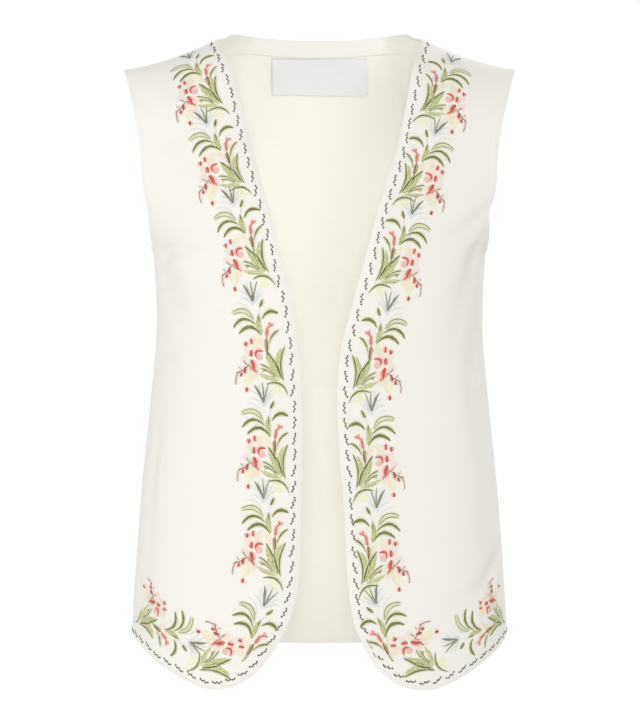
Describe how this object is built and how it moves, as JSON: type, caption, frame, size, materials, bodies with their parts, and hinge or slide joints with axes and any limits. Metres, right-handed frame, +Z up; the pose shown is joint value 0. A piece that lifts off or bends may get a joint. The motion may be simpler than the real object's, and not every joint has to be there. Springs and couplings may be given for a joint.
{
  "type": "sleeveless open-front waistcoat held up by its wearer's shoulders",
  "caption": "Open-front ivory waistcoat in its worn form, with rounded front points and a floral embroidered border down the fronts and along the hem.",
  "frame": {"origin": "halfway between the middles of the two shoulder seams, where the wearer's shoulders hold the garment up", "axes": "+Z up, the fronts face -Y, +X to the wearer's left"},
  "size_m": [0.379, 0.2362, 0.628],
  "materials": {
    "ivory_cloth": "matte woven",
    "label_satin": "satin"
  },
  "bodies": {
    "root": {"right_front": "ivory_cloth", "left_front": "ivory_cloth", "back": "ivory_cloth", "back_neck_facing": "ivory_cloth", "label": "label_satin"}
  },
  "joints": []
}
